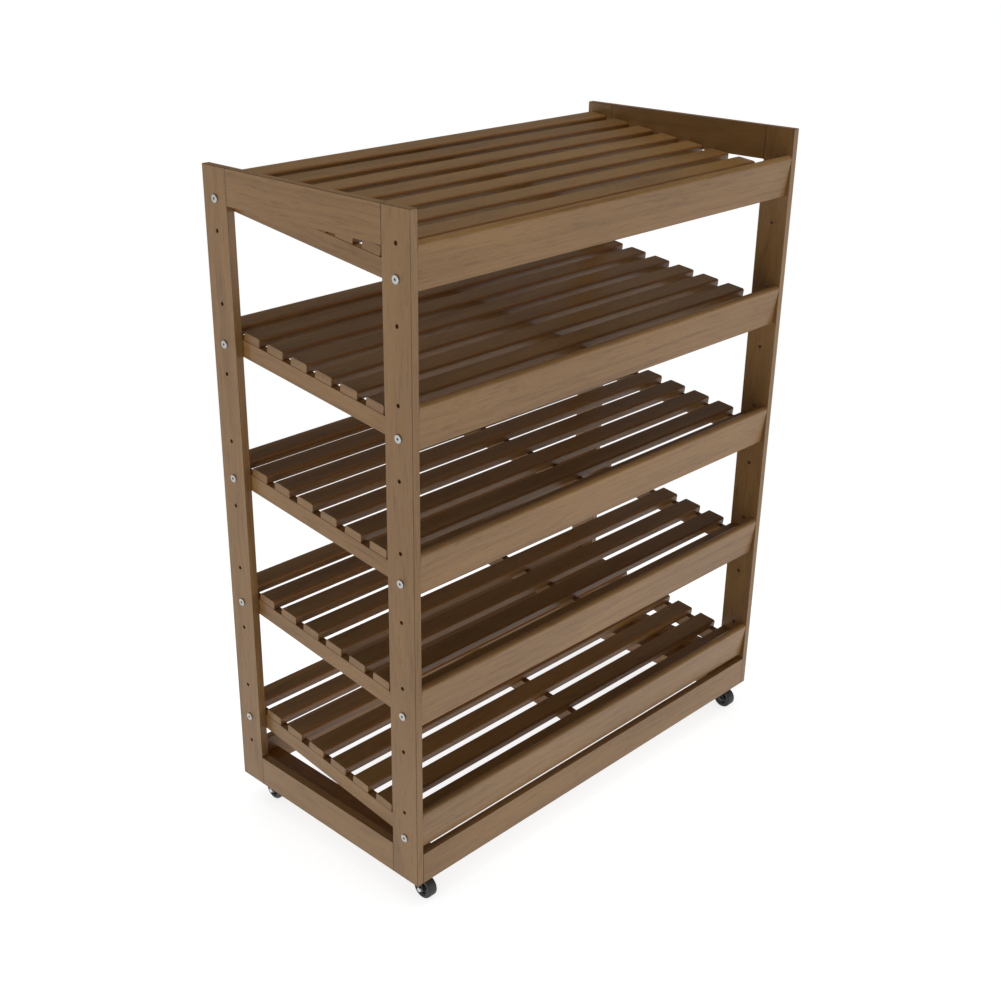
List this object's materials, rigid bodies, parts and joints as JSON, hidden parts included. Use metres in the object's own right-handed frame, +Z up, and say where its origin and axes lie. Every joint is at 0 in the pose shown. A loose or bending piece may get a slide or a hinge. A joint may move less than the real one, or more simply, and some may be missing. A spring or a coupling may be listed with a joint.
{
  "type": "flower cart stand",
  "caption": "Tall wooden plant display stand on swivel casters: slatted shelves with front lips, tilted forward and bolted between board side frames that have spare holes for other tilts.",
  "frame": {"origin": "on the floor, under the middle of the stand", "axes": "+Z up; the front, towards which the shelves slope down, is -Y; +X to the right seen from the front"},
  "size_m": [1.206, 0.6, 1.5],
  "materials": {
    "frame_wood": "walnut-brown stained board, satin varnish",
    "shelf_wood": "walnut-brown stained board, satin varnish",
    "slat_wood": "walnut-brown stained slat, satin varnish",
    "dowel_wood": "plain beech, hidden",
    "bolt_steel": "bright zinc-plated bolt head",
    "insert_steel": "zinc-plated, hidden",
    "caster_steel": "black powder-coated pressed steel",
    "ball_steel": "polished bearing ball",
    "screw_steel": "zinc-plated pan head",
    "tyre_rubber": "black rubber tread, satin",
    "rim_plastic": "dark grey moulded plastic",
    "axle_steel": "bright zinc-plated bolt and nut"
  },
  "bodies": {
    "root": {"left_front_post": "frame_wood", "left_rear_post": "frame_wood", "left_top_rail": "frame_wood", "left_bottom_rail": "frame_wood", "left_caster_board": "frame_wood", "right_front_post": "frame_wood", "right_rear_post": "frame_wood", "right_top_rail": "frame_wood", "right_bottom_rail": "frame_wood", "right_caster_board": "frame_wood", "front_base_rail": "frame_wood", "rear_base_rail": "frame_wood", "shelf_1_front_board": "shelf_wood", "shelf_1_slats": "slat_wood", "shelf_1_left_bearer": "shelf_wood", "shelf_1_centre_bearer": "shelf_wood", "shelf_1_right_bearer": "shelf_wood", "shelf_2_front_board": "shelf_wood", "shelf_2_slats": "slat_wood", "shelf_2_left_bearer": "shelf_wood", "shelf_2_centre_bearer": "shelf_wood", "shelf_2_right_bearer": "shelf_wood", "shelf_3_front_board": "shelf_wood", "shelf_3_slats": "slat_wood", "shelf_3_left_bearer": "shelf_wood", "shelf_3_centre_bearer": "shelf_wood", "shelf_3_right_bearer": "shelf_wood", "shelf_4_front_board": "shelf_wood", "shelf_4_slats": "slat_wood", "shelf_4_left_bearer": "shelf_wood", "shelf_4_centre_bearer": "shelf_wood", "shelf_4_right_bearer": "shelf_wood", "shelf_5_front_board": "shelf_wood", "shelf_5_slats": "slat_wood", "shelf_5_left_bearer": "shelf_wood", "shelf_5_centre_bearer": "shelf_wood", "shelf_5_right_bearer": "shelf_wood", "wood_dowels": "dowel_wood", "shelf_bolts": "bolt_steel", "shelf_inserts": "insert_steel", "caster_plates": "caster_steel", "caster_balls": "ball_steel", "caster_kingpins": "caster_steel", "caster_screws": "screw_steel"},
    "front_left_swivel": {"caster_front_left_fork": "caster_steel", "caster_front_left_axle": "axle_steel"},
    "front_left_wheel": {"caster_front_left_tyre": "tyre_rubber", "caster_front_left_rim": "rim_plastic"},
    "front_right_swivel": {"caster_front_right_fork": "caster_steel", "caster_front_right_axle": "axle_steel"},
    "front_right_wheel": {"caster_front_right_tyre": "tyre_rubber", "caster_front_right_rim": "rim_plastic"},
    "rear_left_swivel": {"caster_rear_left_fork": "caster_steel", "caster_rear_left_axle": "axle_steel"},
    "rear_left_wheel": {"caster_rear_left_tyre": "tyre_rubber", "caster_rear_left_rim": "rim_plastic"},
    "rear_right_swivel": {"caster_rear_right_fork": "caster_steel", "caster_rear_right_axle": "axle_steel"},
    "rear_right_wheel": {"caster_rear_right_tyre": "tyre_rubber", "caster_rear_right_rim": "rim_plastic"}
  },
  "joints": [
    {"name": "front_left_swivel", "type": "hinge", "parent": "root", "child": "front_left_swivel", "pos_m": [-0.5515, -0.2565, 0.05725], "axis": [0, 0, 1], "continuous": true},
    {"name": "front_left_wheel_roll", "type": "hinge", "parent": "front_left_swivel", "child": "front_left_wheel", "pos_m": [-0.5515, -0.2735, 0.025], "axis": [1, 0, 0], "continuous": true},
    {"name": "front_right_swivel", "type": "hinge", "parent": "root", "child": "front_right_swivel", "pos_m": [0.5515, -0.2565, 0.05725], "axis": [0, 0, 1], "continuous": true},
    {"name": "front_right_wheel_roll", "type": "hinge", "parent": "front_right_swivel", "child": "front_right_wheel", "pos_m": [0.5515, -0.2735, 0.025], "axis": [1, 0, 0], "continuous": true},
    {"name": "rear_left_swivel", "type": "hinge", "parent": "root", "child": "rear_left_swivel", "pos_m": [-0.5515, 0.2565, 0.05725], "axis": [0, 0, 1], "continuous": true},
    {"name": "rear_left_wheel_roll", "type": "hinge", "parent": "rear_left_swivel", "child": "rear_left_wheel", "pos_m": [-0.5515, 0.2395, 0.025], "axis": [1, 0, 0], "continuous": true},
    {"name": "rear_right_swivel", "type": "hinge", "parent": "root", "child": "rear_right_swivel", "pos_m": [0.5515, 0.2565, 0.05725], "axis": [0, 0, 1], "continuous": true},
    {"name": "rear_right_wheel_roll", "type": "hinge", "parent": "rear_right_swivel", "child": "rear_right_wheel", "pos_m": [0.5515, 0.2395, 0.025], "axis": [1, 0, 0], "continuous": true}
  ]
}
